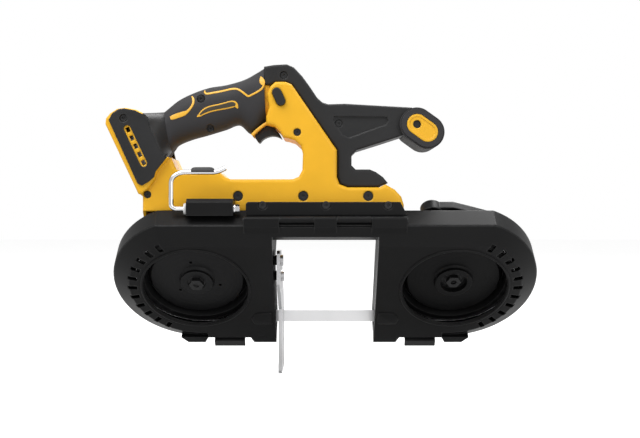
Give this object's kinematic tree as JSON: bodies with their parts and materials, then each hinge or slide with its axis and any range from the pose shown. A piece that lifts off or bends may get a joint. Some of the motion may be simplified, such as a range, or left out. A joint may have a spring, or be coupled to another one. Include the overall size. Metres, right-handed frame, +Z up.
{
  "type": "portable band saw",
  "caption": "Cordless portable band saw with a rear trigger handle, a front arm grip, a hanging hook and a blade loop over leaning wheels.",
  "frame": {"origin": "middle of the whole part's footprint, at the height of the shoe's foot", "axes": "+X along the saw from the battery foot to the front grip's side, -Y towards the wheels' cover, +Z up"},
  "size_m": [0.4265, 0.1566, 0.311],
  "materials": {
    "shell_black": "satin black coat",
    "cover_black": "fine grain",
    "plastic_black": "fine grain",
    "body_yellow": "fine grain",
    "grip_rubber": "soft matt",
    "tyre_rubber": "smooth",
    "steel": "ground",
    "plated_steel": "zinc plated",
    "black_steel": "blackened",
    "chrome": "bright",
    "wheel_metal": "black coat",
    "contact": "plated",
    "board": "coated",
    "winding": "enamelled"
  },
  "bodies": {
    "saw_body": {"frame_deck": "shell_black", "bridge_flange": "shell_black", "flange_screws": "black_steel", "hinge_pin": "steel", "saw_blade": "steel", "guide_bracket_left": "plated_steel", "guide_bracket_right": "plated_steel", "guide_axles": "steel", "work_shoe": "plated_steel", "shoe_screws": "plated_steel", "housing_front": "body_yellow", "housing_rear": "body_yellow", "grip_front": "grip_rubber", "grip_rear": "grip_rubber", "arm_front": "plastic_black", "arm_rear": "plastic_black", "assist_sleeve": "grip_rubber", "assist_cap_front": "body_yellow", "assist_cap_rear": "body_yellow", "foot_cover_front": "plastic_black", "foot_cover_rear": "plastic_black", "battery_rail": "plastic_black", "terminal_blades": "contact", "switch_module": "plastic_black", "control_board": "board", "body_screws": "black_steel", "gear_case": "shell_black", "motor_case": "plastic_black", "motor_stator": "winding", "gear_bearings": "steel", "hook_holder": "shell_black", "tension_spring": "steel", "trigger_spring": "steel"},
    "cover": {"wheel_cover": "cover_black"},
    "latch_left": {"cover_latch_left": "black_steel"},
    "latch_right": {"cover_latch_right": "black_steel"},
    "drive": {"drive_wheel": "wheel_metal", "drive_tyre": "tyre_rubber", "drive_spindle": "steel", "drive_bolt": "black_steel", "output_gear": "steel"},
    "carriage": {"tension_carriage": "black_steel", "idler_spindle": "steel"},
    "idler": {"idler_wheel": "wheel_metal", "idler_tyre": "tyre_rubber", "idler_bearing": "steel"},
    "lever": {"tension_lever": "shell_black"},
    "reduction": {"reduction_gear": "steel"},
    "rotor": {"motor_rotor": "steel"},
    "trigger_body": {"trigger": "plastic_black"},
    "lock": {"lock_button": "plastic_black"},
    "hook": {"hook_wire": "chrome", "hook_nut": "chrome", "hook_rest": "grip_rubber"},
    "roller_lf": {"roller_left_front": "steel"},
    "roller_lr": {"roller_left_rear": "steel"},
    "roller_rf": {"roller_right_front": "steel"},
    "roller_rr": {"roller_right_rear": "steel"}
  },
  "joints": [
    {"name": "cover_hinge", "type": "hinge", "parent": "saw_body", "child": "cover", "pos_m": [0.0012, -0.07539, 0.15725], "axis": [-1, 0, 0], "range_deg": [0, 110]},
    {"name": "latch_left_hinge", "type": "hinge", "parent": "saw_body", "child": "latch_left", "pos_m": [-0.09305, 0.03159, 0.04217], "axis": [1, 0, 0], "range_deg": [0, 40]},
    {"name": "latch_right_hinge", "type": "hinge", "parent": "saw_body", "child": "latch_right", "pos_m": [0.09545, 0.03159, 0.04217], "axis": [1, 0, 0], "range_deg": [0, 40]},
    {"name": "drive_spin", "type": "hinge", "parent": "saw_body", "child": "drive", "pos_m": [-0.1278, -0.01915, 0.10077], "axis": [0, -0.7431, -0.6691], "continuous": true},
    {"name": "lever_turn", "type": "hinge", "parent": "saw_body", "child": "lever", "pos_m": [0.1072, -0.05756, 0.14343], "axis": [0, 0.7431, 0.6691], "range_deg": [0, 101]},
    {"name": "carriage_slide", "type": "slide", "parent": "saw_body", "child": "carriage", "axis": [-1, 0, 0], "range_m": [0, 0.006], "deforming": ["tension_spring"]},
    {"name": "idler_spin", "type": "hinge", "parent": "carriage", "child": "idler", "pos_m": [0.1302, -0.01915, 0.10077], "axis": [0, -0.7431, -0.6691], "continuous": true},
    {"name": "reduction_spin", "type": "hinge", "parent": "saw_body", "child": "reduction", "pos_m": [-0.09735, 0.0171, 0.11431], "axis": [0, -0.7431, -0.6691], "continuous": true},
    {"name": "rotor_spin", "type": "hinge", "parent": "saw_body", "child": "rotor", "pos_m": [-0.07786, 0.02511, 0.14128], "axis": [0, -0.7431, -0.6691], "continuous": true},
    {"name": "roller_left_front_spin", "type": "hinge", "parent": "saw_body", "child": "roller_lf", "pos_m": [-0.0608, 0.0148, 0.057], "axis": [0, 0, 1], "continuous": true},
    {"name": "roller_left_rear_spin", "type": "hinge", "parent": "saw_body", "child": "roller_lr", "pos_m": [-0.0608, 0.0286, 0.057], "axis": [0, 0, 1], "continuous": true},
    {"name": "roller_right_front_spin", "type": "hinge", "parent": "saw_body", "child": "roller_rf", "pos_m": [0.0632, 0.0148, 0.057], "axis": [0, 0, 1], "continuous": true},
    {"name": "roller_right_rear_spin", "type": "hinge", "parent": "saw_body", "child": "roller_rr", "pos_m": [0.0632, 0.0286, 0.057], "axis": [0, 0, 1], "continuous": true},
    {"name": "trigger_pull", "type": "slide", "parent": "saw_body", "child": "trigger_body", "axis": [-0.3401, 0, 0.9404], "range_m": [0, 0.006], "stiffness_N_per_m": 600, "springref_m": -0.004, "deforming": ["trigger_spring"]},
    {"name": "lock_slide", "type": "slide", "parent": "saw_body", "child": "lock", "axis": [0, 1, 0], "range_m": [0, 0.004]},
    {"name": "hook_hinge", "type": "hinge", "parent": "saw_body", "child": "hook", "pos_m": [-0.1088, -0.0683, 0.1677], "axis": [1, 0, 0], "range_deg": [0, 90]}
  ],
  "couplings": [
    {"joint": "idler_spin", "follows": "drive_spin", "ratio": 1},
    {"joint": "reduction_spin", "follows": "drive_spin", "ratio": -4.6},
    {"joint": "rotor_spin", "follows": "drive_spin", "ratio": 26.578},
    {"joint": "roller_left_rear_spin", "follows": "drive_spin", "ratio": 9.3923},
    {"joint": "roller_right_rear_spin", "follows": "drive_spin", "ratio": 9.3923},
    {"joint": "roller_left_front_spin", "follows": "drive_spin", "ratio": -9.3923},
    {"joint": "roller_right_front_spin", "follows": "drive_spin", "ratio": -9.3923},
    {"joint": "lever_turn", "follows": "carriage_slide", "rad_per_m": 290.89}
  ]
}
